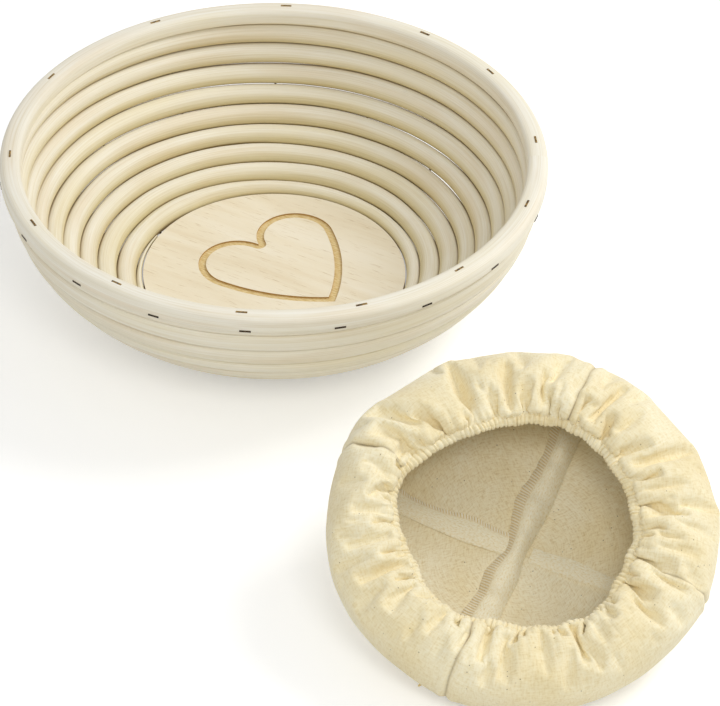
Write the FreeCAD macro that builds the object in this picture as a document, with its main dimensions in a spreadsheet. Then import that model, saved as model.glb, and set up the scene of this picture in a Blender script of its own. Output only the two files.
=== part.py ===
"""Banneton basket: a round proofing basket wound from split cane on a plywood base, with a cloth liner."""
import FreeCAD, Part
import Sketcher
import math
import os
from FreeCAD import Placement, Rotation, Vector

os.makedirs("parts", exist_ok=True)
doc = FreeCAD.newDocument("banneton_basket")

# Driving dimensions, in millimetres and degrees. The basket stands at z = 0, centred on the z axis.
sizes = {
    "basket_radius": 125.0,         # outside of the rim hoop
    "basket_height": 74.8,          # table to the crown of the rim hoop
    "board_radius": 61.3,
    "board_thickness": 5.5,
    "wall_lift": 0.4,               # lowest cane above the table
    "wall_thickness": 5.1,          # groove bottom to the smooth outside
    "cane_bulge": 2.8,              # rounded inner face above the groove bottom
    "cane_turns": 9,
    "cane_gap": 0.3,
    "base_slope": 21.2,             # wall angle beside the board
    "base_reach": 53.9,             # how far the wall keeps that angle before it curves up
    "top_reach": 12.4,              # how far the wall stands upright below the rim
    "start_angle": 130.0,           # where the cane starts beside the board
    "taper_angle": 25.0,            # part of a turn left off where the pared ends grow too thin
    "rim_width": 9.7,
    "rim_depth": 7.6,
    "rim_rounding": 3.6,
    "rim_overhang": 2.4,            # rim hoop past the outside of the wall
    "heart_width": 70.0,
    "heart_length": 69.0,
    "heart_cleft": 12.4,            # from the tops of the lobes down to the cleft
    "heart_turn": -49.5,            # direction from the cleft to the tip
    "heart_shift_x": 6.3,           # middle of the heart from the middle of the board
    "heart_shift_y": 4.1,
    "heart_groove_width": 3.6,
    "heart_groove_depth": 1.0,
    "staple_crown": 5.0,
    "staple_wire": 0.9,
    "staple_leg": 11.0,
    "crown_proud": 0.1,             # staple crown above the face it is driven into
    "side_staple_count": 19,
    "nail_radius": 0.5,
    "nail_length": 13.0,
    "nail_inset": 1.8,              # nails run this far outside the groove bottom
    "nails_per_turn": 7,
    "board_nail_count": 9,
    "liner_radius": 82.0,
    "liner_crown": 30.0,            # widest part of the liner to the top of its curve
    "liner_depth": 26.0,            # widest part of the liner down to its bottom
    "liner_mouth_radius": 56.0,
    "liner_cloth": 2.0,
    "liner_tilt": 24.0,             # mouth leans towards the front
    "liner_turn": 67.0,             # direction of the long seam
    "liner_shift_x": 112.0,
    "liner_shift_y": -222.0,
    "hem_radius": 3.2,
    "hem_cloth": 0.9,
    "elastic_radius": 1.6,
    "seam_height": 6.0,
    "seam_thickness": 1.6,
    "cloth_gap": 0.3,
}
sheet = doc.addObject("Spreadsheet::Sheet", "Sizes")
for row, (alias, value) in enumerate(sizes.items(), start=1):
    sheet.set("A%d" % row, alias)
    sheet.set("B%d" % row, str(value))
    sheet.setAlias("B%d" % row, alias)
doc.recompute()


def size(alias):
    return float(sheet.get(alias))


def name_part(item, label):
    item.Label = label
    parts.append(item)
    return item


def bind(item, **formulas):
    for prop, formula in formulas.items():
        item.setExpression(prop, formula)


def shape_part(label, shape, placement=Placement()):
    item = doc.addObject("Part::Feature", label)
    item.Shape = shape
    item.Placement = placement
    return name_part(item, label)


parts = []

# ---- Wall line: the bottom of the grooves, from the edge of the board up to the rim ----
wall_top_radius = size("basket_radius") - size("rim_overhang") - size("wall_thickness")
wall_top_height = size("basket_height") - size("rim_depth")
base_slope = math.radians(size("base_slope"))
wall_base = Vector(
    size("board_radius") + size("cane_gap"),
    0,
    size("wall_lift") + size("wall_thickness") * math.cos(base_slope),
)
wall_top = Vector(wall_top_radius, 0, wall_top_height)
wall_line = Part.BezierCurve()
wall_line.setPoles([
    wall_base,
    wall_base + Vector(math.cos(base_slope), 0, math.sin(base_slope)) * size("base_reach"),
    wall_top - Vector(0, 0, size("top_reach")),
    wall_top,
])
wall_length = wall_line.length()
cane_pitch = wall_length / size("cane_turns")


def wall_parameter(along):
    return wall_line.parameterAtDistance(along, 0.0) if along > 0 else 0.0


def wall_direction(along):
    """Direction of the wall section, up and outward, this far along the groove line."""
    return wall_line.tangent(wall_parameter(along))[0]


def wall_point(along, inward):
    """Point of the wall section: along the groove line from the board, and inward from it."""
    direction = wall_direction(along)
    normal = Vector(-direction.z, 0, direction.x)
    return wall_line.value(wall_parameter(along)) + normal * inward


# ---- Base board with its routed heart ----
board_blank = doc.addObject("Part::Cylinder", "BoardBlank")
bind(board_blank, Radius="Sizes.board_radius", Height="Sizes.board_thickness")


def heart_outline():
    """Heart with its cleft at the middle and its tip along x: each side is a lobe arc and a flank arc."""
    half_width = size("heart_width") / 2
    tip = size("heart_length") - size("heart_cleft")
    cleft = Vector(0, 0, 0)
    point = Vector(tip, 0, 0)
    edges = []
    for side in (1, -1):
        crest = Vector(-size("heart_cleft"), side * half_width / 2, 0)
        shoulder = Vector(tip / 5, side * half_width, 0)
        flank = Vector(tip * 5 / 8, side * half_width * 5 / 8, 0)
        edges.append(Part.Arc(cleft, crest, shoulder).toShape())
        edges.append(Part.Arc(shoulder, flank, point).toShape())
    return Part.Wire(Part.__sortEdges__(edges))


outer_heart = heart_outline()
inner_heart = outer_heart.makeOffset2D(-size("heart_groove_width"))
heart_band = Part.Face(outer_heart).cut(Part.Face(inner_heart))
heart_cutter = doc.addObject("Part::Feature", "HeartCutter")
heart_cutter.Shape = heart_band.extrude(Vector(0, 0, 2 * size("heart_groove_depth")))
heart_turn = Rotation(Vector(0, 0, 1), size("heart_turn"))
heart_centre = heart_turn.multVec(Vector(size("heart_length") / 2 - size("heart_cleft"), 0, 0))
heart_cutter.Placement = Placement(
    Vector(
        size("heart_shift_x") - heart_centre.x,
        size("heart_shift_y") - heart_centre.y,
        size("board_thickness") - size("heart_groove_depth"),
    ),
    heart_turn,
)
board = doc.addObject("Part::Cut", "BaseBoard")
board.Base = board_blank
board.Tool = heart_cutter
name_part(board, "base_board")

# ---- Cane wall: one pared length wound as a spiral, a node for each turn ----
start_angle = size("start_angle")
taper_angle = size("taper_angle")
turns = int(size("cane_turns"))
half_gap = size("cane_gap") / 2


def cane_section(turn, angle):
    """Closed D outline of the cane in the upright plane at this angle of this turn."""
    rise = cane_pitch * (turn + angle / 360.0)
    low = max(rise - cane_pitch, 0.0) + half_gap
    high = min(rise, wall_length) - half_gap
    bulge = size("cane_bulge") * (high - low) / cane_pitch
    back = -size("wall_thickness")
    inner_low = wall_point(low, 0)
    inner_high = wall_point(high, 0)
    outer_high = wall_point(high, back)
    outer_low = wall_point(low, back)
    outline = Part.Wire([
        Part.Arc(inner_low, wall_point((low + high) / 2, bulge), inner_high).toShape(),
        Part.LineSegment(inner_high, outer_high).toShape(),
        Part.LineSegment(outer_high, outer_low).toShape(),
        Part.LineSegment(outer_low, inner_low).toShape(),
    ])
    outline.rotate(Vector(0, 0, 0), Vector(0, 0, 1), start_angle + angle)
    return outline


sections_per_turn = 24
for turn in range(turns + 1):
    first = taper_angle if turn == 0 else 0.0
    last = 360.0 - taper_angle if turn == turns else 360.0
    angles = [first + (last - first) * step / sections_per_turn for step in range(sections_per_turn + 1)]
    loft = Part.makeLoft([cane_section(turn, angle) for angle in angles], True, False)
    shape_part("wall_turn_%02d" % (turn + 1), loft)

# ---- Rim hoop: a bent strip with a rounded crown, standing on the top turn ----


def origin_plane(body, role):
    return next(item for item in body.Origin.OriginFeatures if item.Role == role)


rim = doc.addObject("PartDesign::Body", "RimHoop")
rim_sketch = rim.newObject("Sketcher::SketchObject", "RimSection")
rim_sketch.AttachmentSupport = [(origin_plane(rim, "XZ_Plane"), "")]
rim_sketch.MapMode = "FlatFace"
rim_inside = size("basket_radius") - size("rim_width")
corners = [
    Vector(rim_inside, wall_top_height, 0),
    Vector(size("basket_radius"), wall_top_height, 0),
    Vector(size("basket_radius"), size("basket_height"), 0),
    Vector(rim_inside, size("basket_height"), 0),
]
for index in range(4):
    rim_sketch.addGeometry(Part.LineSegment(corners[index], corners[(index + 1) % 4]))
for index in range(4):
    rim_sketch.addConstraint(Sketcher.Constraint("Coincident", index, 2, (index + 1) % 4, 1))
for index, kind in enumerate(("Horizontal", "Vertical", "Horizontal", "Vertical")):
    rim_sketch.addConstraint(Sketcher.Constraint(kind, index))
rim_sizes = [
    ("strip_width", ("DistanceX", 0, 1, 0, 2, size("rim_width")), "Sizes.rim_width"),
    ("strip_depth", ("DistanceY", 1, 1, 1, 2, size("rim_depth")), "Sizes.rim_depth"),
    ("outer_radius", ("DistanceX", -1, 1, 1, 2, size("basket_radius")), "Sizes.basket_radius"),
    ("crown_height", ("DistanceY", -1, 1, 1, 2, size("basket_height")), "Sizes.basket_height"),
]
for constraint_name, arguments, formula in rim_sizes:
    index = rim_sketch.addConstraint(Sketcher.Constraint(*arguments))
    rim_sketch.renameConstraint(index, constraint_name)
    rim_sketch.setExpression("Constraints." + constraint_name, formula)
rim_ring = rim.newObject("PartDesign::Revolution", "RimRing")
rim_ring.Profile = rim_sketch
rim_ring.ReferenceAxis = (rim_sketch, ["V_Axis"])
rim_ring.Angle = 360
doc.recompute()
crown_edges = [
    "Edge%d" % (number + 1)
    for number, edge in enumerate(rim_ring.Shape.Edges)
    if edge.BoundBox.ZMin > size("basket_height") - 0.01
]
rim_round = rim.newObject("PartDesign::Fillet", "RimCrown")
rim_round.Base = (rim_ring, crown_edges)
bind(rim_round, Radius="Sizes.rim_rounding")
rim.Tip = rim_round
name_part(rim, "rim_hoop")

# ---- Staples and nails, driven into the cane ----
wire = size("staple_wire")
crown = size("staple_crown")


def staple(leg):
    """Staple with its crown along y and its legs down, the top of the crown at z = 0."""
    bar = Part.makeBox(wire, crown, wire, Vector(-wire / 2, -crown / 2, -wire))
    legs = [
        Part.makeBox(wire, wire, leg, Vector(-wire / 2, side, -leg))
        for side in (-crown / 2, crown / 2 - wire)
    ]
    return bar.fuse(legs).removeSplitter()


def around(piece, angles, turn_shape=Rotation(), radius=0.0, height=0.0):
    """Copies of a piece, turned as told, set out at these angles around the z axis."""
    copies = []
    for angle in angles:
        spin = Rotation(Vector(0, 0, 1), angle)
        copy = piece.copy()
        copy.Placement = Placement(spin.multVec(Vector(radius, 0, height)), spin.multiply(turn_shape))
        copies.append(copy)
    return Part.makeCompound(copies)


crown_proud = size("crown_proud")
rim_middle = size("basket_radius") - size("rim_width") / 2
rim_staple_angles = (6, 34, 55, 89, 120, 152, 183, 209, 237, 265, 290, 314, 342)
shape_part("rim_top_staples", around(
    staple(size("staple_leg")),
    rim_staple_angles,
    radius=rim_middle,
    height=size("basket_height") + crown_proud,
))

# The side staples stop short of the legs that come down through the middle of the hoop.
side_leg = size("rim_width") / 2 + crown_proud - wire / 2 - size("cane_gap")
side_count = int(size("side_staple_count"))
side_staple_start = 247.0
side_angles = [side_staple_start + 360.0 * number / side_count for number in range(side_count)]
shape_part("rim_side_staples", around(
    staple(side_leg),
    side_angles,
    turn_shape=Rotation(Vector(0, 1, 0), 90),
    radius=size("basket_radius") + crown_proud,
    height=wall_top_height + wire,
))

nail_radius = size("nail_radius")
nail_length = size("nail_length")
nails_per_turn = int(size("nails_per_turn"))
nail_inset = size("nail_inset")
cane_nails = []
for joint in range(turns - 1):
    for number in range(nails_per_turn):
        angle = 360.0 * (number + 0.25 + (joint % 2) * 0.5) / nails_per_turn
        groove = cane_pitch * (joint + 1 + angle / 360.0)
        direction = wall_direction(groove)
        nail_start = wall_point(groove, -nail_inset) - direction * nail_length / 2
        nail = Part.makeCylinder(nail_radius, nail_length, nail_start, direction)
        nail.rotate(Vector(0, 0, 0), Vector(0, 0, 1), start_angle + angle)
        cane_nails.append(nail)
shape_part("cane_nails", Part.makeCompound(cane_nails))

board_nail_count = int(size("board_nail_count"))
board_nail = Part.makeCylinder(nail_radius, nail_length, Vector(-nail_length / 2, 0, 0), Vector(1, 0, 0))
shape_part("board_nails", around(
    board_nail,
    [start_angle + 360.0 * (number + 0.5) / board_nail_count for number in range(board_nail_count)],
    radius=size("board_radius") + size("wall_thickness") / 4,
    height=size("board_thickness") / 2,
))

# ---- Cloth liner, lying in front of the basket ----
tilt = math.radians(size("liner_tilt"))
liner_lift = math.hypot(
    size("liner_depth") * math.cos(tilt),
    size("liner_radius") * math.sin(tilt),
)
liner_place = Placement(
    Vector(size("liner_shift_x"), size("liner_shift_y"), liner_lift),
    Rotation(Vector(1, 0, 0), size("liner_tilt")).multiply(Rotation(Vector(0, 0, 1), size("liner_turn"))),
)


def cloth_curve(inset):
    """Half section of the liner, smaller by the inset: its bottom curve, then its curve up to the mouth."""
    radius = size("liner_radius") - inset
    across = Vector(radius, 0, 0)
    bottom = Part.Ellipse(across, Vector(0, size("liner_depth") - inset, 0), Vector(0, 0, 0))
    crown = Part.Ellipse(across, Vector(0, size("liner_crown") - inset, 0), Vector(0, 0, 0))
    middle = -math.acos(size("liner_cloth") / radius)
    mouth = math.acos(size("liner_mouth_radius") / size("liner_radius"))
    return Part.ArcOfEllipse(bottom, middle, 0), Part.ArcOfEllipse(crown, 0, mouth)


seam_gap_angle = math.degrees(size("cloth_gap") / size("liner_mouth_radius"))
outer_bottom, outer_crown = cloth_curve(0.0)
inner_bottom, inner_crown = cloth_curve(size("liner_cloth"))
gore_outline = [
    outer_bottom,
    outer_crown,
    Part.LineSegment(outer_crown.EndPoint, inner_crown.EndPoint),
    inner_crown,
    inner_bottom,
    Part.LineSegment(inner_bottom.StartPoint, outer_bottom.StartPoint),
]
curved_edges = (0, 1, 3, 4)
for quarter in range(4):
    tag = "%d" % (quarter + 1)
    gore = doc.addObject("PartDesign::Body", "Gore" + tag)
    gore_sketch = gore.newObject("Sketcher::SketchObject", "GoreSection" + tag)
    gore_sketch.AttachmentSupport = [(origin_plane(gore, "XZ_Plane"), "")]
    gore_sketch.MapMode = "FlatFace"
    gore_sketch.addGeometry(gore_outline)
    gore_sketch.addConstraint([Sketcher.Constraint("Block", edge) for edge in curved_edges])
    gore_turn = gore.newObject("PartDesign::Revolution", "GoreTurn" + tag)
    gore_turn.Profile = gore_sketch
    gore_turn.ReferenceAxis = (gore_sketch, ["V_Axis"])
    gore_turn.Angle = 90 - seam_gap_angle
    gore.Placement = liner_place.multiply(Placement(Vector(), Rotation(Vector(0, 0, 1), 90 * quarter)))
    name_part(gore, "liner_gore_" + tag)

# The hem lies just inside the mouth, level with the inner edge of the gores.
hem_ring_radius = (
    "(Sizes.liner_radius - Sizes.liner_cloth) * Sizes.liner_mouth_radius / Sizes.liner_radius"
    " - Sizes.hem_radius - Sizes.cloth_gap"
)
hem_place = liner_place.multiply(Placement(Vector(0, 0, inner_crown.EndPoint.y), Rotation()))


def combine(kind, name, base, tool):
    item = doc.addObject("Part::" + kind, name)
    item.Base = base
    item.Tool = tool
    return item


def ring(name, wire_radius):
    item = doc.addObject("Part::Torus", name)
    bind(item, Radius1=hem_ring_radius, Radius2=wire_radius)
    item.Placement = hem_place
    return item


casing = combine(
    "Cut", "HemCasing", ring("HemSkin", "Sizes.hem_radius"),
    ring("HemHollow", "Sizes.hem_radius - Sizes.hem_cloth"),
)
name_part(casing, "liner_hem")
name_part(ring("HemElastic", "Sizes.elastic_radius"), "hem_elastic")


# Each half ball is turned so that its own closing edge lies between the seams, clear of every cut.
away_from_seam = Placement(Vector(), Rotation(Vector(0, 0, 1), 225))


def bottom_form(name, inset, placement):
    """Half ball of the liner's bottom, smaller all round by the inset."""
    form = doc.addObject("Part::Ellipsoid", name)
    bind(
        form,
        Radius1="Sizes.liner_depth - (%s)" % inset,
        Radius2="Sizes.liner_radius - (%s)" % inset,
        Radius3="Sizes.liner_radius - (%s)" % inset,
    )
    form.Angle1 = -90.0
    form.Angle2 = 0.0
    form.Placement = placement
    return form


def seam_strip(label, reach_low, reach_high, turn):
    """Overlocked seam edge standing up inside the liner, between these distances from its middle."""
    place = liner_place.multiply(Placement(Vector(), Rotation(Vector(0, 0, 1), turn)))
    turned = place.multiply(away_from_seam)
    inset = "Sizes.liner_cloth + Sizes.cloth_gap"
    outer = bottom_form(label + "Outer", inset, turned)
    inner = bottom_form(label + "Inner", inset + " + Sizes.seam_height", turned)
    band = combine("Cut", label + "Band", outer, inner)
    slab = doc.addObject("Part::Box", label + "Slab")
    bind(slab, Width="Sizes.seam_thickness", Height="Sizes.liner_depth")
    slab.Length = reach_high - reach_low
    slab.Placement = place.multiply(Placement(
        Vector(reach_low, -size("seam_thickness") / 2, -size("liner_depth")),
        Rotation(),
    ))
    return name_part(combine("Common", label + "Strip", band, slab), label)


clear_of_seam = size("seam_thickness") / 2 + size("cloth_gap")
seam_strip("liner_seam_long", -size("liner_radius"), size("liner_radius"), 0)
seam_strip("liner_seam_left", clear_of_seam, size("liner_radius"), 90)
seam_strip("liner_seam_right", clear_of_seam, size("liner_radius"), 270)

# ---- Check and write every part ----
doc.recompute()
for item in doc.Objects:
    if {"Invalid", "Error"} & set(item.State):
        raise RuntimeError("%s did not build" % item.Label)
for item in parts:
    if item.Shape.isNull() or not item.Shape.isValid():
        raise RuntimeError("%s is not a valid solid" % item.Label)
    item.Shape.exportStep("parts/%s.step" % item.Label)
    print(item.Label, len(item.Shape.Solids), round(item.Shape.Volume, 1))
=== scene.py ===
import bpy
import math
import numpy as np
from mathutils import Matrix, Vector, geometry


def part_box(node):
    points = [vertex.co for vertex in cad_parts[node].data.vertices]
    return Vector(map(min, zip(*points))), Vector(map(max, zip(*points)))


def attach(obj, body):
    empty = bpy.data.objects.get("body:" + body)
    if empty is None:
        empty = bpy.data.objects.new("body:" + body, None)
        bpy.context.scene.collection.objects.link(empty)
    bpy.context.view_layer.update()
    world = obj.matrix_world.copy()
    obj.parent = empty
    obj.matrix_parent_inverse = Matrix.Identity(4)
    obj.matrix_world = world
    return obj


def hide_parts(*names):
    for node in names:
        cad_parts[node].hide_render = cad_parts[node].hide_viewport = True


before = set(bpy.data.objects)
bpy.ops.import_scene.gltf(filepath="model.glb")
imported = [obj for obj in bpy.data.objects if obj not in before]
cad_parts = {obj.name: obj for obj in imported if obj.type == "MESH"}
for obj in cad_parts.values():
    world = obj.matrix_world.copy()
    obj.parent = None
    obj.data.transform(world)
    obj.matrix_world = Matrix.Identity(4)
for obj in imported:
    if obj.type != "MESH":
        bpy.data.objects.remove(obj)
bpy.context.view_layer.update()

mm = 0.001
fullTurn = 2 * math.pi


# small helpers
def deselectAll():
    if bpy.context.object and bpy.context.object.mode != "OBJECT":
        bpy.ops.object.mode_set(mode="OBJECT")
    bpy.ops.object.select_all(action="DESELECT")


def selectOnly(piece):
    deselectAll()
    piece.select_set(True)
    bpy.context.view_layer.objects.active = piece


def editAll(piece):
    selectOnly(piece)
    bpy.ops.object.mode_set(mode="EDIT")
    bpy.ops.mesh.select_all(action="SELECT")


def leaveEdit():
    bpy.ops.object.mode_set(mode="OBJECT")


def closeUp(piece, mergeDistance=1e-6):
    # welds the seam, caps open ends and turns the faces outwards
    editAll(piece)
    bpy.ops.mesh.remove_doubles(threshold=mergeDistance)
    bpy.ops.mesh.fill_holes(sides=0)
    bpy.ops.mesh.normals_make_consistent(inside=False)
    leaveEdit()


def smoothShade(piece, sharpAngle=50):
    selectOnly(piece)
    bpy.ops.object.shade_smooth_by_angle(angle=math.radians(sharpAngle))


def readVerts(mesh):
    co = np.empty(len(mesh.vertices) * 3)
    mesh.vertices.foreach_get("co", co)
    return co.reshape(-1, 3)


def writeVerts(mesh, co):
    mesh.vertices.foreach_set("co", np.ascontiguousarray(co, dtype=np.float32).ravel())
    mesh.update()


def writeUv(mesh, uvPerVert):
    # must run before any vertices are welded, so that the seam keeps both its values
    loops = np.empty(len(mesh.loops), dtype=np.int32)
    mesh.loops.foreach_get("vertex_index", loops)
    layer = mesh.uv_layers.active or mesh.uv_layers.new(name="UVMap")
    layer.uv.foreach_set("vector", np.ascontiguousarray(uvPerVert[loops], dtype=np.float32).ravel())


def wander(position, seed, reach):
    # slow uneven drift from about -1 to 1, with swells about this long
    rng = np.random.default_rng(seed)
    total = 0
    for share in (1.0, 0.6, 0.35):
        wave = reach * share * rng.uniform(0.8, 1.25)
        total = total + share * np.sin(fullTurn * position / wave + rng.uniform(0, fullTurn))
    return total / 1.6


def ringWander(angle, seed, swells):
    # the same drift round a ring, where it has to close on itself
    rng = np.random.default_rng(seed)
    total = 0
    for count in swells:
        total = total + np.sin(count * angle + rng.uniform(0, fullTurn)) / len(swells)
    return total


def layGrid(columns, rows):
    # a flat sheet of quads to be wrapped into shape, with each vertex's place across it from 0 to 1
    deselectAll()
    bpy.ops.mesh.primitive_grid_add(x_subdivisions=columns, y_subdivisions=rows, size=1)
    piece = bpy.context.object
    flat = readVerts(piece.data)
    return piece, flat[:, 0] + 0.5, flat[:, 1] + 0.5


def placePiece(piece, name, body, slotName, material, *nodes):
    piece.name = name
    piece.data.name = name
    piece.data.materials.clear()
    piece.data.materials.append(material)
    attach(piece, body)
    if nodes:
        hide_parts(*nodes)
    return piece


# materials
def paint(hexColour):
    channels = [int(hexColour[i:i + 2], 16) / 255 for i in (1, 3, 5)]
    linear = [c / 12.92 if c <= 0.04045 else ((c + 0.055) / 1.055) ** 2.4 for c in channels]
    return (*linear, 1.0)


def feed(tree, socket, value):
    # an input takes either another node's output or a fixed value
    if isinstance(value, bpy.types.NodeSocket):
        tree.links.new(value, socket)
    else:
        socket.default_value = value


def addNode(tree, kind, settings=None, inputs=None, **sockets):
    # settings go on the node, sockets are its inputs by name, and inputs are the ones known by number
    node = tree.nodes.new(kind)
    for key, value in (settings or {}).items():
        setattr(node, key, value)
    for key, value in (*(inputs or {}).items(), *sockets.items()):
        feed(tree, node.inputs[key.replace("_", " ") if isinstance(key, str) else key], value)
    return node


def newMaterial(name, roughness, specular=0.5):
    material = bpy.data.materials.new(name)
    material.use_nodes = True
    shader = material.node_tree.nodes["Principled BSDF"]
    shader.inputs["Roughness"].default_value = roughness
    shader.inputs["Specular IOR Level"].default_value = specular
    return material, material.node_tree, shader


def ramp(tree, source, stops):
    node = addNode(tree, "ShaderNodeValToRGB", Fac=source)
    band = node.color_ramp
    while len(band.elements) < len(stops):
        band.elements.new(0.5)
    for element, (position, colour) in zip(band.elements, stops):
        element.position = position
        element.color = paint(colour) if isinstance(colour, str) else (colour, colour, colour, 1)
    return node.outputs["Color"]


def mixColour(tree, kind, amount, first, second):
    node = addNode(tree, "ShaderNodeMix", {"data_type": "RGBA", "blend_type": kind})
    for number, value in ((0, amount), (6, first), (7, second)):
        feed(tree, node.inputs[number], value)
    return node.outputs[2]


def peeledCane(name, pale, mid, dark, seed, edgeSpacing=None):
    # split rattan core, peeled and unvarnished: a dry satin face streaked by long fine fibres
    fibreWidth = 0.55 * mm
    fibreLength = 60 * mm
    bandWidth = 2.6 * mm
    patchLength = 90 * mm
    patchWidth = 14 * mm
    material, tree, shader = newMaterial(name, roughness=0.62, specular=0.35)
    lay = addNode(tree, "ShaderNodeTexCoord")
    # the piece's own map runs along the cane in x and round it in y, both in metres
    fibreMap = addNode(tree, "ShaderNodeMapping", Vector=lay.outputs["UV"],
                       Location=(seed, seed, 0), Scale=(1 / fibreLength, 1 / fibreWidth, 1))
    fibres = addNode(tree, "ShaderNodeTexNoise", Vector=fibreMap.outputs[0],
                     Scale=1.0, Detail=4.0, Roughness=0.6)
    bandMap = addNode(tree, "ShaderNodeMapping", Vector=lay.outputs["UV"],
                      Location=(seed * 3, seed, 0), Scale=(0.5 / patchLength, 1 / bandWidth, 1))
    bands = addNode(tree, "ShaderNodeTexNoise", Vector=bandMap.outputs[0],
                    Scale=1.0, Detail=2.0, Roughness=0.5)
    patchMap = addNode(tree, "ShaderNodeMapping", Vector=lay.outputs["UV"],
                       Location=(seed * 7, 0, 0), Scale=(1 / patchLength, 1 / patchWidth, 1))
    patches = addNode(tree, "ShaderNodeTexNoise", Vector=patchMap.outputs[0],
                      Scale=1.0, Detail=3.0, Roughness=0.55)
    base = ramp(tree, bands.outputs["Fac"], [(0.3, mid), (0.62, pale)])
    streak = ramp(tree, fibres.outputs["Fac"], [(0.34, dark), (0.5, mid), (0.62, pale)])
    colour = mixColour(tree, "MIX", 0.4, base, streak)
    warmth = ramp(tree, patches.outputs["Fac"], [(0.35, "#F4EADB"), (0.5, "#FFFFFF"), (0.68, "#FBF6E2")])
    colour = mixColour(tree, "MULTIPLY", 0.45, colour, warmth)
    if edgeSpacing:
        # painted shade: the cane turns browner along both edges, down in the grooves, unevenly along its length
        paintedShadeCore = 0.8 * mm
        paintedShadeReach = 2.1 * mm
        paintedShadeDrift = 0.9 * mm
        place = addNode(tree, "ShaderNodeSeparateXYZ", Vector=lay.outputs["UV"])
        fromEdge = addNode(tree, "ShaderNodeMath", {"operation": "PINGPONG"},
                           {0: place.outputs["Y"], 1: edgeSpacing / 2})
        uneven = addNode(tree, "ShaderNodeMath", {"operation": "MULTIPLY_ADD"},
                         {0: patches.outputs["Fac"], 1: paintedShadeDrift, 2: fromEdge.outputs[0]})
        paintedGrooveShade = addNode(tree, "ShaderNodeMapRange", Value=uneven.outputs[0],
                           From_Min=paintedShadeReach, From_Max=paintedShadeCore, To_Max=0.75)
        colour = mixColour(tree, "MIX", paintedGrooveShade.outputs[0], colour, paint("#A98A50"))
        # painted shade: the half of the inner face that looks down is tinted tan, as light from above would
        # leave it
        belly = addNode(tree, "ShaderNodeMapRange", {"interpolation_type": "SMOOTHSTEP"},
                        Value=place.outputs["Y"], From_Min=0.4 * edgeSpacing, From_Max=0.85 * edgeSpacing)
        back = addNode(tree, "ShaderNodeMapRange", {"interpolation_type": "SMOOTHSTEP"},
                       Value=place.outputs["Y"], From_Min=1.15 * edgeSpacing, From_Max=edgeSpacing)
        paintedUnderShade = addNode(tree, "ShaderNodeMath", {"operation": "MULTIPLY"},
                        {0: belly.outputs[0], 1: back.outputs[0]})
        colour = mixColour(tree, "MULTIPLY", paintedUnderShade.outputs[0], colour, paint("#E3DCBF"))
    tree.links.new(colour, shader.inputs["Base Color"])
    bump = addNode(tree, "ShaderNodeBump", Height=fibres.outputs["Fac"],
                   Strength=0.35, Distance=0.12 * mm)
    tree.links.new(bump.outputs[0], shader.inputs["Normal"])
    return material


def birchPly(name):
    # sanded birch plywood: a pale matt veneer with faint long figure and short dark pores; the router cuts
    # into the tan glue line, and its burnished edge is browner
    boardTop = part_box("base_board")[1].z
    grooveDepth = 1.0 * mm
    grainAngle = math.radians(28)
    figureSize = (90 * mm, 9 * mm, 4 * mm)
    poreSize = (9 * mm, 0.7 * mm, 2 * mm)
    mottleSize = (3 * mm, 0.8 * mm, 1)
    material, tree, shader = newMaterial(name, roughness=0.58, specular=0.3)
    place = addNode(tree, "ShaderNodeTexCoord")
    along = addNode(tree, "ShaderNodeMapping", Vector=place.outputs["Object"],
                    Rotation=(0, 0, grainAngle))
    figureMap = addNode(tree, "ShaderNodeMapping", Vector=along.outputs[0],
                        Scale=[1 / size for size in figureSize])
    figure = addNode(tree, "ShaderNodeTexNoise", Vector=figureMap.outputs[0],
                     Scale=1.0, Detail=4.0, Roughness=0.55, Distortion=0.4)
    poreMap = addNode(tree, "ShaderNodeMapping", Vector=along.outputs[0],
                      Scale=[1 / size for size in poreSize])
    pores = addNode(tree, "ShaderNodeTexNoise", Vector=poreMap.outputs[0],
                    Scale=1.0, Detail=3.0, Roughness=0.6)
    face = ramp(tree, figure.outputs["Fac"], [(0.3, "#E9DBBE"), (0.5, "#F0E5CC"), (0.7, "#F4EBD6")])
    poreTone = ramp(tree, pores.outputs["Fac"], [(0.27, "#C9B48C"), (0.4, "#FFFFFF")])
    face = mixColour(tree, "MULTIPLY", 0.55, face, poreTone)
    height = addNode(tree, "ShaderNodeSeparateXYZ", Vector=place.outputs["Object"])
    sunk = addNode(tree, "ShaderNodeMapRange", Value=height.outputs["Z"],
                   From_Min=boardTop - 0.06 * mm, From_Max=boardTop - 0.3 * mm)
    floorOf = addNode(tree, "ShaderNodeMapRange", Value=height.outputs["Z"],
                      From_Min=boardTop - 0.6 * grooveDepth, From_Max=boardTop - 0.97 * grooveDepth)
    mottleMap = addNode(tree, "ShaderNodeMapping", Vector=along.outputs[0],
                        Scale=[1 / size for size in mottleSize])
    mottle = addNode(tree, "ShaderNodeTexNoise", Vector=mottleMap.outputs[0],
                     Scale=1.0, Detail=3.0, Roughness=0.6)
    cutFloor = ramp(tree, mottle.outputs["Fac"], [(0.3, "#C9A967"), (0.5, "#DFC58C"), (0.7, "#EAD6A6")])
    cut = mixColour(tree, "MIX", floorOf.outputs[0], paint("#A97F3E"), cutFloor)
    colour = mixColour(tree, "MIX", sunk.outputs[0], face, cut)
    tree.links.new(colour, shader.inputs["Base Color"])
    bump = addNode(tree, "ShaderNodeBump", Height=pores.outputs["Fac"],
                   Strength=0.25, Distance=0.08 * mm)
    tree.links.new(bump.outputs[0], shader.inputs["Normal"])
    return material


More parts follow.
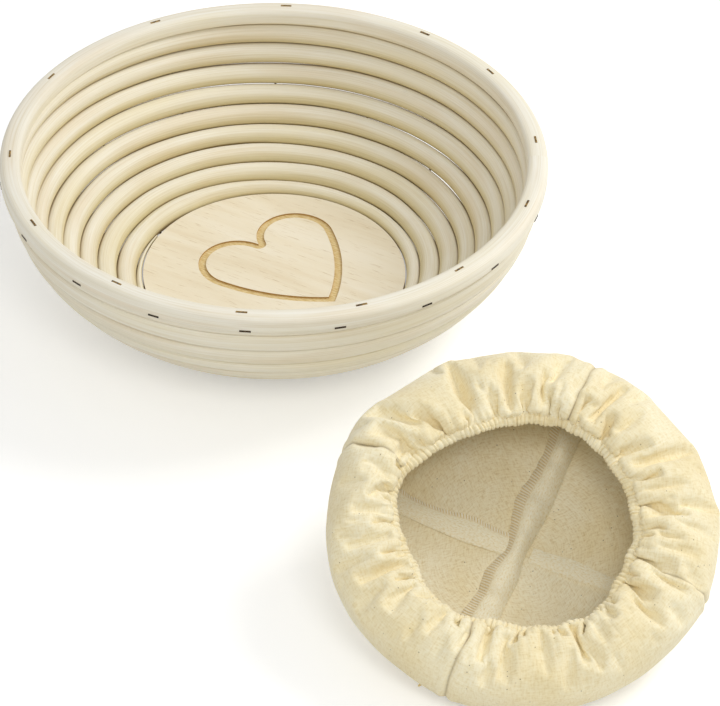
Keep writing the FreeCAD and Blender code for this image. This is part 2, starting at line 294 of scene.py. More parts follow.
def stapleWire(name, dark, light):
    # zinc-dipped steel wire gone dull and brown where the damp wood holds it
    stainSize = 1.5 * mm
    material, tree, shader = newMaterial(name, roughness=0.5)
    shader.inputs["Metallic"].default_value = 0.7
    place = addNode(tree, "ShaderNodeTexCoord")
    stain = addNode(tree, "ShaderNodeTexNoise", Vector=place.outputs["Object"],
                    Scale=1 / stainSize, Detail=2.0, Roughness=0.6)
    tone = ramp(tree, stain.outputs["Fac"], [(0.4, dark), (0.6, light)])
    tree.links.new(tone, shader.inputs["Base Color"])
    return material


def calico(name, pale, mid, dark, threadSpacing):
    # unbleached plain-weave cotton: matt cream cloth with slubs and dark flecks of seed husk.
    # The real threads are about 0.5 mm apart, too fine to show, so they are drawn coarser.
    patchSize = 35 * mm
    fleckSpacing = (1.9 * mm, 1.5 * mm)
    material, tree, shader = newMaterial(name, roughness=0.92, specular=0.2)
    shader.inputs["Sheen Weight"].default_value = 0.25
    shader.inputs["Sheen Roughness"].default_value = 0.6
    lay = addNode(tree, "ShaderNodeTexCoord")
    slubMap = addNode(tree, "ShaderNodeMapping", Vector=lay.outputs["UV"],
                      Scale=(1 / threadSpacing, 0.25 / threadSpacing, 1))
    warp = addNode(tree, "ShaderNodeTexNoise", Vector=slubMap.outputs[0],
                   Scale=1.0, Detail=2.0, Roughness=0.6)
    weftMap = addNode(tree, "ShaderNodeMapping", Vector=lay.outputs["UV"],
                      Scale=(0.25 / threadSpacing, 1 / threadSpacing, 1))
    weft = addNode(tree, "ShaderNodeTexNoise", Vector=weftMap.outputs[0],
                   Scale=1.0, Detail=2.0, Roughness=0.6)
    weave = addNode(tree, "ShaderNodeMath", {"operation": "ADD"},
                    {0: warp.outputs["Fac"], 1: weft.outputs["Fac"]})
    # ramp positions stop at 1, so the summed weave is halved first
    half = addNode(tree, "ShaderNodeMath", {"operation": "MULTIPLY"}, {0: weave.outputs[0], 1: 0.5})
    tone = ramp(tree, half.outputs[0], [(0.32, dark), (0.5, mid), (0.66, pale)])
    patchMap = addNode(tree, "ShaderNodeMapping", Vector=lay.outputs["UV"],
                       Scale=(1 / patchSize, 1 / patchSize, 1))
    patches = addNode(tree, "ShaderNodeTexNoise", Vector=patchMap.outputs[0],
                      Scale=1.0, Detail=3.0, Roughness=0.55)
    cloud = ramp(tree, patches.outputs["Fac"], [(0.35, "#F3E9CF"), (0.62, "#FFFFFF")])
    colour = mixColour(tree, "MULTIPLY", 0.6, tone, cloud)
    fleckMap = addNode(tree, "ShaderNodeMapping", Vector=lay.outputs["UV"],
                       Scale=(1 / fleckSpacing[0], 1 / fleckSpacing[1], 1))
    flecks = addNode(tree, "ShaderNodeTexVoronoi", {"feature": "F1"}, Vector=fleckMap.outputs[0],
                     Scale=1.0, Randomness=1.0)
    near = addNode(tree, "ShaderNodeMapRange", Value=flecks.outputs["Distance"],
                   From_Min=0.2, From_Max=0.1)
    pick = addNode(tree, "ShaderNodeSeparateColor", Color=flecks.outputs["Color"])
    few = addNode(tree, "ShaderNodeMath", {"operation": "GREATER_THAN"}, {0: pick.outputs["Red"], 1: 0.93})
    fleck = addNode(tree, "ShaderNodeMath", {"operation": "MULTIPLY"},
                    {0: near.outputs[0], 1: few.outputs[0]})
    soft = addNode(tree, "ShaderNodeMath", {"operation": "MULTIPLY"}, {0: fleck.outputs[0], 1: 0.7})
    colour = mixColour(tree, "MIX", soft.outputs[0], colour, paint("#6E5530"))
    # the sewn seams draw the cloth down into a thin line of stitches, darkened by painted shade and broken up
    # by the weave
    seam = addNode(tree, "ShaderNodeAttribute", {"attribute_name": "seamLine"})
    paintedSeamShade = addNode(tree, "ShaderNodeMath", {"operation": "MULTIPLY"},
                     {0: seam.outputs["Fac"], 1: warp.outputs["Fac"]})
    colour = mixColour(tree, "MIX", paintedSeamShade.outputs[0], colour, paint("#7E6434"))
    tree.links.new(colour, shader.inputs["Base Color"])
    bump = addNode(tree, "ShaderNodeBump", Height=half.outputs[0], Strength=0.4, Distance=0.25 * mm)
    tree.links.new(bump.outputs[0], shader.inputs["Normal"])
    return material


def overlockedEdge(name, pale, mid, dark):
    # calico with its cut edge overlocked: a ladder of paler thread, matt like the cloth, along the edge
    stitchSpacing = 1.25 * mm
    stitchSlant = 0.3
    ladderStart = 13 * mm
    ladderFull = 14.5 * mm
    slubSize = (1.2 * mm, 0.9 * mm)
    material, tree, shader = newMaterial(name, roughness=0.9, specular=0.2)
    shader.inputs["Sheen Weight"].default_value = 0.25
    shader.inputs["Sheen Roughness"].default_value = 0.6
    lay = addNode(tree, "ShaderNodeTexCoord")
    clothMap = addNode(tree, "ShaderNodeMapping", Vector=lay.outputs["UV"],
                       Scale=(1 / slubSize[0], 1 / slubSize[1], 1))
    cloth = addNode(tree, "ShaderNodeTexNoise", Vector=clothMap.outputs[0], Scale=1.0, Detail=3.0,
                    Roughness=0.6)
    tone = ramp(tree, cloth.outputs["Fac"], [(0.3, dark), (0.46, mid), (0.62, pale)])
    place = addNode(tree, "ShaderNodeSeparateXYZ", Vector=lay.outputs["UV"])
    slant = addNode(tree, "ShaderNodeMath", {"operation": "MULTIPLY"},
                    {0: place.outputs["Y"], 1: stitchSlant})
    along = addNode(tree, "ShaderNodeMath", {"operation": "ADD"},
                    {0: place.outputs["X"], 1: slant.outputs[0]})
    step = addNode(tree, "ShaderNodeMath", {"operation": "DIVIDE"}, {0: along.outputs[0], 1: stitchSpacing})
    beat = addNode(tree, "ShaderNodeMath", {"operation": "PINGPONG"}, {0: step.outputs[0], 1: 0.5})
    thread = addNode(tree, "ShaderNodeMapRange", Value=beat.outputs[0], From_Min=0.05, From_Max=0.32)
    edge = addNode(tree, "ShaderNodeMapRange", Value=place.outputs["Y"], From_Min=ladderStart,
                   From_Max=ladderFull)
    stitched = addNode(tree, "ShaderNodeMath", {"operation": "MULTIPLY"},
                       {0: thread.outputs[0], 1: edge.outputs[0]})
    gapShade = mixColour(tree, "MULTIPLY", edge.outputs[0], tone, paint("#EAD9AE"))
    colour = mixColour(tree, "MIX", stitched.outputs[0], gapShade, paint("#F8EFD6"))
    tree.links.new(colour, shader.inputs["Base Color"])
    height = addNode(tree, "ShaderNodeMath", {"operation": "ADD"},
                     {0: stitched.outputs[0], 1: cloth.outputs["Fac"]})
    bump = addNode(tree, "ShaderNodeBump", Height=height.outputs[0], Strength=0.5, Distance=0.3 * mm)
    tree.links.new(bump.outputs[0], shader.inputs["Normal"])
    return material


def braid(name):
    # woven elastic, polyester over rubber: matt white with a fine rib across
    ribSpacing = 0.8 * mm
    material, tree, shader = newMaterial(name, roughness=0.8, specular=0.3)
    lay = addNode(tree, "ShaderNodeTexCoord")
    ribs = addNode(tree, "ShaderNodeTexWave", {"bands_direction": "X"}, Vector=lay.outputs["UV"],
                   Scale=0.314 / ribSpacing, Distortion=0.3)
    tone = ramp(tree, ribs.outputs["Fac"], [(0.2, "#CFC9BA"), (0.7, "#EDE9DE")])
    tree.links.new(tone, shader.inputs["Base Color"])
    bump = addNode(tree, "ShaderNodeBump", Height=ribs.outputs["Fac"], Strength=0.4, Distance=0.15 * mm)
    tree.links.new(bump.outputs[0], shader.inputs["Normal"])
    return material


caneGirth = 26.4 * mm
wallCane = peeledCane("peeledWallCane", "#F6F1E2", "#EEE6CF", "#D9CAA4", 3.1, edgeSpacing=caneGirth / 2)
rimCane = peeledCane("peeledRimCane", "#F6F2E5", "#EFE8D5", "#DACDAB", 8.7)
plywood = birchPly("birchPlywood")
wire = stapleWire("agedStapleWire", "#1E150D", "#4A3927")
crownWire = stapleWire("brownedStapleWire", "#4A3416", "#A88A50")
cottonCloth = calico("unbleachedCalico", "#FAF2D5", "#F5EAC6", "#E8D8A9", 0.8 * mm)
cottonInside = calico("unbleachedCalicoInside", "#FAF3D8", "#F4E9C8", "#E0CE9F", 0.7 * mm)
overlockedCotton = overlockedEdge("overlockedCalico", "#FAF3DA", "#F5EAC8", "#E6D4A2")
elasticBraid = braid("wovenElastic")
print("materials ready")


# cane wall
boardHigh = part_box("base_board")[1]
rimLow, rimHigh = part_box("rim_hoop")
wall = {
    "boardRadius": boardHigh.x,
    "topHeight": rimLow.z,
    "rimRadius": rimHigh.x,
    "overhang": 2.4 * mm,
    "thickness": 5.1 * mm,
    "boardGap": 0.3 * mm,
    "lift": 0.4 * mm,
    "baseSlope": math.radians(21.2),
    "baseReach": 53.9 * mm,
    "topReach": 12.4 * mm,
    "turns": 9,
    "startAngle": math.radians(130),
    "taper": 25 / 360,
    "bulge": 2.7 * mm,
    "waist": 1.3 * mm,      # how far outside the groove line neighbouring canes touch
    "flatBack": 0.55,       # 1 is a round back, less is flatter
    "climbSwing": 0.95,     # how much faster the cane climbs just past its start
    "slit": 0.08 * mm,
    "widerSlit": 0.13 * mm,
    "drift": 0.22 * mm,
    "quiver": 0.04 * mm,
    "push": 0.15 * mm,
    "twist": 0.02,
    "segments": 320,
    "girth": 30,
}

wallBase = Vector((wall["boardRadius"] + wall["boardGap"], 0,
                   wall["lift"] + wall["thickness"] * math.cos(wall["baseSlope"])))
wallTop = Vector((wall["rimRadius"] - wall["overhang"] - wall["thickness"], 0, wall["topHeight"]))
baseWay = Vector((math.cos(wall["baseSlope"]), 0, math.sin(wall["baseSlope"])))
baseHandle = wallBase + wall["baseReach"] * baseWay
topHandle = wallTop - wall["topReach"] * Vector((0, 0, 1))
wallPoints = np.array(geometry.interpolate_bezier(wallBase, baseHandle, topHandle, wallTop, 600))
wallSteps = np.linalg.norm(np.diff(wallPoints, axis=0), axis=1)
wallAlong = np.concatenate([[0], np.cumsum(wallSteps)])
wallLength = wallAlong[-1]
wallSlope = np.unwrap(np.arctan2(np.gradient(wallPoints[:, 2]), np.gradient(wallPoints[:, 0])))
pitch = wallLength / wall["turns"]


def wallPlace(along, inward):
    # radius and height of a point of the wall section
    slope = np.interp(along, wallAlong, wallSlope)
    radius = np.interp(along, wallAlong, wallPoints[:, 0]) - np.sin(slope) * inward
    height = np.interp(along, wallAlong, wallPoints[:, 2]) + np.cos(slope) * inward
    return radius, height


def seamLine(travel):
    # where the cane's upper edge runs after this many turns: it climbs fastest just past its start
    swing = np.sin(fullTurn * (travel - 0.1)) + math.sin(fullTurn * 0.1)
    climb = travel + wall["climbSwing"] / fullTurn * swing
    fade = np.clip(travel / 0.5, 0, 1) * np.clip((wall["turns"] - travel) / 0.5, 0, 1)
    uneven = wall["drift"] * wander(travel, 21, 0.24) + wall["quiver"] * wander(travel, 22, 0.07)
    return np.clip(pitch * climb + fade * uneven, 0, wallLength)


def slitBeside(travel):
    # half of the gap between two canes, wide enough here and there to let light through
    return wall["slit"] + wall["widerSlit"] * np.maximum(0, wander(travel, 31, 0.3)) ** 2


def layCane(turn):
    first = wall["taper"] if turn == 0 else 0.0
    last = 1 - wall["taper"] if turn == wall["turns"] else 1.0
    piece, share, around = layGrid(wall["segments"], wall["girth"])
    travel = turn + first + (last - first) * share
    around = around * fullTurn
    low = seamLine(travel - 1)
    high = seamLine(travel)
    low = low + slitBeside(travel - 1)
    high = np.maximum(high - slitBeside(travel), low + 0.2 * mm)    # a pared end never thins to nothing
    share = np.clip((high - low) / pitch, 0, 1)
    # D section: a full round inside, a flat back with round corners outside
    across = np.cos(around)
    depth = np.sin(around)
    inside = depth >= 0
    flatAcross = np.sign(across) * np.abs(across) ** wall["flatBack"]
    flatDepth = -np.abs(depth) ** wall["flatBack"]
    width = np.where(inside, across, flatAcross)
    reach = np.where(inside, (wall["bulge"] * share + wall["waist"]) * np.abs(depth),
                     (wall["thickness"] - wall["waist"]) * flatDepth)
    push = wall["push"] * wander(travel, 41, 0.31) * np.clip(share * 1.5 - 0.5, 0, 1)
    twist = wall["twist"] * wander(travel, 42, 0.35)
    along = (low + high) / 2 + width * (high - low) / 2
    lift = np.maximum(depth, 0)
    inward = reach - wall["waist"] + push * lift + twist * width * (high - low) / 2 * lift
    radius, height = wallPlace(along, inward)
    angle = wall["startAngle"] + fullTurn * travel
    writeUv(piece.data, np.column_stack([travel * 0.6, around / fullTurn * caneGirth]))
    writeVerts(piece.data, np.column_stack([radius * np.cos(angle), radius * np.sin(angle), height]))
    closeUp(piece)
    smoothShade(piece, 60)
    label = "%02d" % (turn + 1)
    return placePiece(piece, "wallTurn" + label, "basket", "wall_cane", wallCane, "wall_turn_" + label)


for turn in range(wall["turns"] + 1):
    layCane(turn)
print("cane wall laid")


# rim hoop
rimHoop = {
    "width": 9.7 * mm,
    "crownPower": 0.72,     # 1 is a true round and 0 a square: a round crown stands on square corners
    "footPower": 0.22,
    "beltShare": 0.42,
    "swell": 0.12 * mm,
    "segments": 420,
    "girth": 36,
}
rimMid = rimHigh.x - rimHoop["width"] / 2
rimDepth = rimHigh.z - rimLow.z
rim, angle, girth = layGrid(rimHoop["segments"], rimHoop["girth"])
angle = angle * fullTurn
girth = girth * fullTurn
upper = np.sin(girth) >= -1e-9
power = np.where(upper, rimHoop["crownPower"], rimHoop["footPower"])
side = np.sign(np.cos(girth)) * np.abs(np.cos(girth)) ** power
rise = np.sign(np.sin(girth)) * np.abs(np.sin(girth)) ** power
beltHeight = rimLow.z + rimDepth * rimHoop["beltShare"]
height = beltHeight + rise * np.where(upper, rimHigh.z - beltHeight, beltHeight - rimLow.z)
swell = rimHoop["swell"] * ringWander(angle, 51, (5, 9, 14, 23)) * np.maximum(np.sin(girth), 0)
radius = rimMid + side * rimHoop["width"] / 2
height = height + swell - rimHoop["swell"] * upper * np.maximum(np.sin(girth), 0)
writeUv(rim.data, np.column_stack([angle * rimMid, girth * rimHoop["width"] / 2]))
writeVerts(rim.data, np.column_stack([radius * np.cos(angle), radius * np.sin(angle), height]))
closeUp(rim)
smoothShade(rim, 60)
placePiece(rim, "rimHoop", "basket", "rim_cane", rimCane, "rim_hoop")
print("rim hoop done")


# cotton liner: simulated as one bag, then cut into its sewn pieces
liner = {
    "spot": (109.2 * mm, -219 * mm),
    "tilt": math.radians(24),
    "turn": math.radians(67),
    "radius": 81.5 * mm,
    "depth": 26 * mm,
    "wall": 46 * mm,            # cloth from the widest part up to the hem, before it is gathered
    "wallLean": 3 * mm,
    "hemHeight": 13 * mm,
    "seamCorner": 0.025,
    "frontTrim": 0.035,         # the side nearest the table edge is cut a little shorter
    "frontAngle": math.radians(203),
    # the gathered mouth isn't a true circle: radius in mm every 20 degrees from the long seam
    "mouth": (48.4, 46.4, 45.0, 46.3, 52.0, 56.0, 53.3, 51.3, 54.5, 52.4, 50.4, 51.8, 52.6, 48.8, 48.8, 47.8,
              46.0, 46.6),
    "columns": 60,
    "rows": 52,
    "scale": 10,
    "frames": 40,
    "pressure": 8.0,
    "gravity": 0.15,
    "fineColumns": 250,
    "fineRows": 104,
    "clothThickness": 0.6 * mm,
    "standRadius": 82 * mm,     # radius and tilt that set how high the bag's middle stands off the table
    # the bottom is stuffed, so it is held up to this share of the way to the hem and then let go
    "heldShare": 0.62,
    "heldFade": 0.3,
    "heldMost": 0.9,
    "mouthPucker": 0.35 * mm,
    "mouthLift": 0.5 * mm,
    "mouthSag": 1.2 * mm,
}
# calico at ten times its size, so that the solver works in its usual range
calicoWeight = {
    "quality": 7,
    "mass": 0.25,
    "tension_stiffness": 25,
    "compression_stiffness": 25,
    "shear_stiffness": 12,
    "bending_stiffness": 9,
    "bending_damping": 0.5,
    "air_damping": 2,
    "use_pressure": True,
    "uniform_pressure_force": liner["pressure"],
}
linerCos, linerSin = math.cos(liner["tilt"]), math.sin(liner["tilt"])
linerLift = math.hypot(liner["standRadius"] * linerSin, liner["depth"] * linerCos)
linerTurn = np.array((Matrix.Rotation(liner["tilt"], 3, "X") @ Matrix.Rotation(liner["turn"], 3, "Z")))
linerCentre = np.array((*liner["spot"], linerLift))


def toWorld(local):
    return local @ linerTurn.T + linerCentre


def restBag(azimuth, share):
    # bag as sewn: a shallow dome and an upright wall, with a slight corner at each seam
    dome = np.linspace(0, math.pi / 2, 120)
    profileR = np.concatenate([liner["radius"] * np.sin(dome) ** 0.9,
                               liner["radius"] - liner["wallLean"] * np.linspace(0.01, 1, 60)])
    profileZ = np.concatenate([-liner["depth"] * np.cos(dome), liner["wall"] * np.linspace(0.01, 1, 60)])
    along = np.concatenate([[0], np.cumsum(np.hypot(np.diff(profileR), np.diff(profileZ)))])
    radius = np.interp(share * along[-1], along, profileR)
    height = np.interp(share * along[-1], along, profileZ)
    fromSeam = np.abs((azimuth + math.pi / 4) % (math.pi / 2) - math.pi / 4)
    radius = radius * (1 + liner["seamCorner"] * np.exp(-(fromSeam / 0.2) ** 2) * share)
    radius = radius * (1 - liner["frontTrim"] * np.clip(np.cos(azimuth - liner["frontAngle"]), 0, 1) * share)
    return np.column_stack([radius * np.cos(azimuth), radius * np.sin(azimuth), height]), along[-1]


def mouthRadius(azimuth):
    listed = np.array(liner["mouth"]) * mm
    steps = np.linspace(0, fullTurn, len(listed) + 1)
    total = 0
    for shift in (-0.14, 0, 0.14):
        total = total + np.interp((azimuth + shift) % fullTurn, steps, np.append(listed, listed[0]))
    return total / 3


def sewBag():
    columns, rows = liner["columns"], liner["rows"]
    gores = []
    for quarter in range(4):
        gore, across, share = layGrid(columns, rows)
        azimuth = (quarter + across) * math.pi / 2
        writeUv(gore.data, np.column_stack([(quarter + across) / 4, share]))
        places, _ = restBag(azimuth, share)
        writeVerts(gore.data, toWorld(places) * liner["scale"])
        gores.append(gore)
    deselectAll()
    for gore in gores:
        gore.select_set(True)
    bpy.context.view_layer.objects.active = gores[0]
    bpy.ops.object.join()
    bag = bpy.context.object
    editAll(bag)
    bpy.ops.mesh.remove_doubles(threshold=1e-5)
    leaveEdit()
    return bag


def bagPlaces(mesh):
    # the column and row of every vertex, read back from the map
    loops = np.empty(len(mesh.loops), dtype=np.int32)
    mesh.loops.foreach_get("vertex_index", loops)
    uv = np.empty(len(mesh.loops) * 2)
    mesh.uv_layers[0].uv.foreach_get("vector", uv)
    uv = uv.reshape(-1, 2)
    column = np.rint(uv[:, 0] * 4 * liner["columns"]).astype(int) % (4 * liner["columns"])
    row = np.rint(uv[:, 1] * liner["rows"]).astype(int)
    return loops, column, row


def gatherBag(bag):
    # the hem ring is drawn in to the mouth while air pressure and weight shape the rest
    mesh = bag.data
    loops, column, row = bagPlaces(mesh)
    onHem = row == liner["rows"]
    hemVerts = dict(zip(loops[onHem].tolist(), column[onHem].tolist()))
    hemIndex = np.array(sorted(hemVerts))
    azimuth = np.array([hemVerts[i] for i in hemIndex]) / (4 * liner["columns"]) * fullTurn
    group = bag.vertex_groups.new(name="hem")
    group.add(hemIndex.tolist(), 1.0, "REPLACE")
    held = np.zeros(len(mesh.vertices))
    fade = np.clip((liner["heldShare"] - row / liner["rows"]) / liner["heldFade"], 0, 1)
    held[loops] = fade * liner["heldMost"]
    for level in range(1, 10):
        members = np.flatnonzero(np.rint(held * 10) == level)
        if len(members):
            group.add(members.tolist(), level / 10, "REPLACE")
    co = readVerts(mesh)
    rise = np.clip((row / liner["rows"] - 0.6) / 0.4, 0, 1)
    uneven = np.zeros(len(co))
    ripple = np.sin(26 * column / (4 * liner["columns"]) * fullTurn + 2 * np.sin(3 * row / liner["rows"] * 3))
    uneven[loops] = 0.006 * ripple * rise
    middle = linerCentre * liner["scale"]
    writeVerts(mesh, middle + (co - middle) * (1 + uneven[:, None]))
    bag.shape_key_add(name="sewn")
    key = bag.shape_key_add(name="gathered")
    pucker = liner["mouthPucker"] * np.sin(19 * azimuth + 2.5 * np.sin(3 * azimuth))
    lift = liner["mouthLift"] * np.sin(17 * azimuth + 2 * np.sin(4 * azimuth))
    lift = lift + liner["mouthSag"] * ringWander(azimuth, 61, (2, 3, 5))
    radius = mouthRadius(azimuth) + pucker
    target = toWorld(np.column_stack([radius * np.cos(azimuth), radius * np.sin(azimuth),
                                      liner["hemHeight"] + lift])) * liner["scale"]
    for index, place in zip(hemIndex, target):
        key.data[int(index)].co = place
    key.value = 0
    key.keyframe_insert("value", frame=1)
    key.value = 1
    key.keyframe_insert("value", frame=int(liner["frames"] * 0.6))
    deselectAll()
    bpy.ops.mesh.primitive_plane_add(size=8, location=(0, 0, 0))
    table = bpy.context.object
    bpy.ops.object.modifier_add(type="COLLISION")
    selectOnly(bag)
    bpy.ops.object.modifier_add(type="CLOTH")
    cloth = bag.modifiers[-1]
    for key, value in calicoWeight.items():
        setattr(cloth.settings, key, value)
    cloth.settings.vertex_group_mass = "hem"
    cloth.settings.effector_weights.gravity = liner["gravity"]
    cloth.collision_settings.distance_min = 0.008
    cloth.collision_settings.use_self_collision = False
    cloth.point_cache.frame_start = 1
    cloth.point_cache.frame_end = liner["frames"]
    timeline = bpy.context.scene
    timeline.frame_end = liner["frames"]
    for frameNumber in range(1, liner["frames"] + 1):
        timeline.frame_set(frameNumber)
    settled = bag.evaluated_get(bpy.context.evaluated_depsgraph_get())
    places = readVerts(settled.to_mesh()).copy()
    settled.to_mesh_clear()
    timeline.frame_set(1)
    bpy.data.objects.remove(table)
    return places / liner["scale"]


bag = sewBag()
loops, column, row = bagPlaces(bag.data)
settled = gatherBag(bag)
ring = np.zeros((liner["rows"] + 1, 4 * liner["columns"], 3))
ring[row, column] = settled[loops]
ring[0] = ring[0][np.any(ring[0] != 0, axis=1)].mean(axis=0)
bpy.data.objects.remove(bag)
print("bag settled")


def between(values, position):
    # smooth curve through the rows of an array, at fractional rows
    low = np.clip(np.floor(position).astype(int), 0, len(values) - 2)
    part = (position - low)[:, None, None]
    before, start = values[np.maximum(low - 1, 0)], values[low]
    end, after = values[low + 1], values[np.minimum(low + 2, len(values) - 1)]
    return 0.5 * (2 * start + (end - before) * part + (2 * before - 5 * start + 4 * end - after) * part ** 2
                  + (3 * start - before - 3 * end + after) * part ** 3)


def clothAt(azimuth, share):
    # a fine grid of points on the settled cloth: rows by share, columns by azimuth
    count = 4 * liner["columns"]
    rowsFound = between(ring, share * liner["rows"])
    wrapped = np.concatenate([rowsFound[:, -3:], rowsFound, rowsFound[:, :4]], axis=1)
    found = between(np.swapaxes(wrapped, 0, 1), azimuth / fullTurn * count + 3)
    return np.swapaxes(found, 0, 1)


def gridNormals(points):
    alongColumns = np.gradient(points, axis=1)
    alongRows = np.gradient(points, axis=0)
    normal = np.cross(alongColumns, alongRows)
    return normal / np.maximum(np.linalg.norm(normal, axis=2, keepdims=True), 1e-12)


def ruffle(azimuth, count, seed, steps):
    # round ridges parted by sharp valleys, unevenly spaced, from -1 to 1
    phase = count * azimuth / 2 + 0.9 * ringWander(azimuth, seed, steps)
    return 2 * np.sqrt(np.abs(np.sin(phase))) - 1


restLength = restBag(np.zeros(1), np.zeros(1))[1]
goreShare = 1 - (1 - np.linspace(0, 1, liner["fineRows"] + 1)) ** 1.5
gathers = {
    "fine": 148,
    "fineHeight": 0.55 * mm,
    "fineReach": 6 * mm,
    "fineSteps": (7, 11, 17),
    "broad": 74,
    "broadHeight": 0.45 * mm,
    "broadReach": 13 * mm,
    "broadSteps": (5, 9, 13),
}
seam = {
    "grooveDepth": 0.7 * mm,
    "grooveWidth": 1.1 * mm,
    "ridgeHeight": 0.35 * mm,   # the folded allowance lifts the cloth a little beside the groove
    "ridgeAway": 3 * mm,
    "ridgeWidth": 1.6 * mm,
    # width of the painted shade along the seams
    "seamShadeWidth": 0.5 * mm,
}


def sewGore(quarter):
    azimuth = (quarter + np.linspace(0, 1, liner["fineColumns"] + 1)) * math.pi / 2
    points = clothAt(azimuth, goreShare)
    fromHem = (1 - goreShare[:, None]) * restLength
    fine = ruffle(azimuth, gathers["fine"], 71, gathers["fineSteps"])[None, :]
    fine = fine * np.exp(-fromHem / gathers["fineReach"])
    length = 0.4 + 0.6 * (ringWander(azimuth, 73, (19, 27, 41)) + 1)[None, :]
    broad = ruffle(azimuth, gathers["broad"], 72, gathers["broadSteps"])[None, :]
    broad = broad * np.exp(-fromHem / (gathers["broadReach"] * length))
    fromSeam = np.linalg.norm(points - points[:, :1], axis=2)
    fromSeam = np.minimum(fromSeam, np.linalg.norm(points - points[:, -1:], axis=2))
    groove = -seam["grooveDepth"] * np.exp(-(fromSeam / seam["grooveWidth"]) ** 2)
    groove = groove + seam["ridgeHeight"] * np.exp(-((fromSeam - seam["ridgeAway"]) / seam["ridgeWidth"]) ** 2)
    offMiddle = np.clip(goreShare * 8, 0, 1)
    height = gathers["fineHeight"] * fine + gathers["broadHeight"] * broad + groove * offMiddle[:, None]
    # both edges take one height, so that neighbouring gores meet
    height[:, [0, -1]] = (-seam["grooveDepth"] * offMiddle + gathers["fineHeight"] * fine[:, 0]
                          + gathers["broadHeight"] * broad[:, 0])[:, None]
    points = points + gridNormals(points) * height[:, :, None]
    gore, columnOf, rowOf = layGrid(liner["fineColumns"], liner["fineRows"])
    columnOf = np.rint(columnOf * liner["fineColumns"]).astype(int)
    rowOf = np.rint(rowOf * liner["fineRows"]).astype(int)
    sewnAt = azimuth[0] + (azimuth[-1] - azimuth[0]) * columnOf / liner["fineColumns"]
    bagged, _ = restBag(sewnAt, goreShare[rowOf])
    across = (columnOf / liner["fineColumns"] - 0.5) * math.pi / 2 * np.hypot(bagged[:, 0], bagged[:, 1])
    writeUv(gore.data, np.column_stack([across + quarter, goreShare[rowOf] * restLength]))
    writeVerts(gore.data, points[rowOf, columnOf])
    # painted seam shade: how near each point lies to a seam, faded out near the middle of the bottom
    seamShadeLine = gore.data.attributes.new("seamLine", "FLOAT", "POINT")
    closeness = np.exp(-(fromSeam / seam["seamShadeWidth"]) ** 2)
    closeness = closeness * np.clip((goreShare[:, None] - 0.1) * 8, 0, 1)
    seamShadeLine.data.foreach_set("value", closeness[rowOf, columnOf].astype(np.float32))
    editAll(gore)
    bpy.ops.mesh.remove_doubles(threshold=1e-7)
    leaveEdit()
    number = quarter + 1
    placePiece(gore, "linerGore%d" % number, "liner", "liner_cotton", cottonCloth, "liner_gore_%d" % number)
    gore.data.materials.append(cottonInside)
    selectOnly(gore)
    bpy.ops.object.modifier_add(type="SOLIDIFY")
    wallOf = gore.modifiers[-1]
    wallOf.thickness = liner["clothThickness"]
    wallOf.offset = -1
    wallOf.material_offset = 1
    bpy.ops.object.modifier_apply(modifier=wallOf.name)
    smoothShade(gore, 70)


for quarter in range(4):
    sewGore(quarter)
print("liner gores sewn")


# liner hem and its elastic
hem = {
    "segments": 1184,
    "girth": 14,
    "halfWidth": 2.3 * mm,
    "halfDepth": 1.25 * mm,
    "ruffleHeight": 0.55 * mm,
    "stripWidth": 5.5 * mm,
    "least": 10 * mm,       # the shortest side that a sheet may be declared with
}
elastic = {"segments": 360, "girth": 10, "halfWidth": 1.3 * mm, "halfDepth": 0.35 * mm}


def edgeFrames(azimuth):
    # points along the mouth edge, with the ways across the cloth, out of it and along it
    around = clothAt(azimuth, np.array([0.93, 0.97, 1.0]))
    edge = around[2]
    across = around[2] - around[0]
    reach = len(azimuth) // 60
    window = np.hanning(2 * reach + 3)[1:-1]
    window = window / window.sum()
    shifts = range(-reach, reach + 1)
    for values in (edge, across):
        values[:] = sum(np.roll(values, shift, axis=0) * weight for shift, weight in zip(shifts, window))
    across = across / np.linalg.norm(across, axis=1, keepdims=True)
    ahead = np.roll(edge, -1, axis=0) - np.roll(edge, 1, axis=0)
    ahead = ahead / np.linalg.norm(ahead, axis=1, keepdims=True)
    outward = np.cross(ahead, across)
    return edge, across, outward / np.linalg.norm(outward, axis=1, keepdims=True), ahead


def layRing(name, segments, girthSteps, halfWidth, halfDepth, ruffleHeight, slotName, material, node):
    piece, share, girth = layGrid(segments, girthSteps)
    girth = girth * fullTurn
    step = np.rint(share * segments).astype(int) % segments
    samples = np.arange(segments) / segments * fullTurn
    edge, across, outward, ahead = edgeFrames(samples)
    ridge = ruffle(samples, gathers["fine"], 71, gathers["fineSteps"])
    strength = 1 + 0.35 * ringWander(samples, 81, (13, 29, 47))
    lean = 0.5 * mm * ringWander(samples, 82, (37, 53, 71)) * (ruffleHeight > 0)
    width = halfWidth * (1 + 0.18 * ridge * strength * (ruffleHeight > 0))
    depth = halfDepth + ruffleHeight * ridge * strength * 0.8
    middle = edge + across * halfWidth * 0.55 - outward * 0.4 * mm + ahead * lean[:, None]
    place = (middle[step] + across[step] * (np.cos(girth) * width[step])[:, None]
             + outward[step] * (np.sin(girth) * depth[step])[:, None])
    writeUv(piece.data, np.column_stack([share * fullTurn * 50 * mm, girth * (halfWidth + halfDepth) / 2]))
    writeVerts(piece.data, place)
    closeUp(piece)
    smoothShade(piece, 80)
    return placePiece(piece, name, "liner", slotName, material, node)


hemPiece = layRing("linerHem", hem["segments"], hem["girth"], hem["halfWidth"], hem["halfDepth"],
                   hem["ruffleHeight"], "hem_cotton", cottonCloth, "liner_hem")
layRing("hemElastic", elastic["segments"], elastic["girth"], elastic["halfWidth"], elastic["halfDepth"], 0.0,
        "elastic", elasticBraid, "hem_elastic")
print("hem gathered on its elastic")


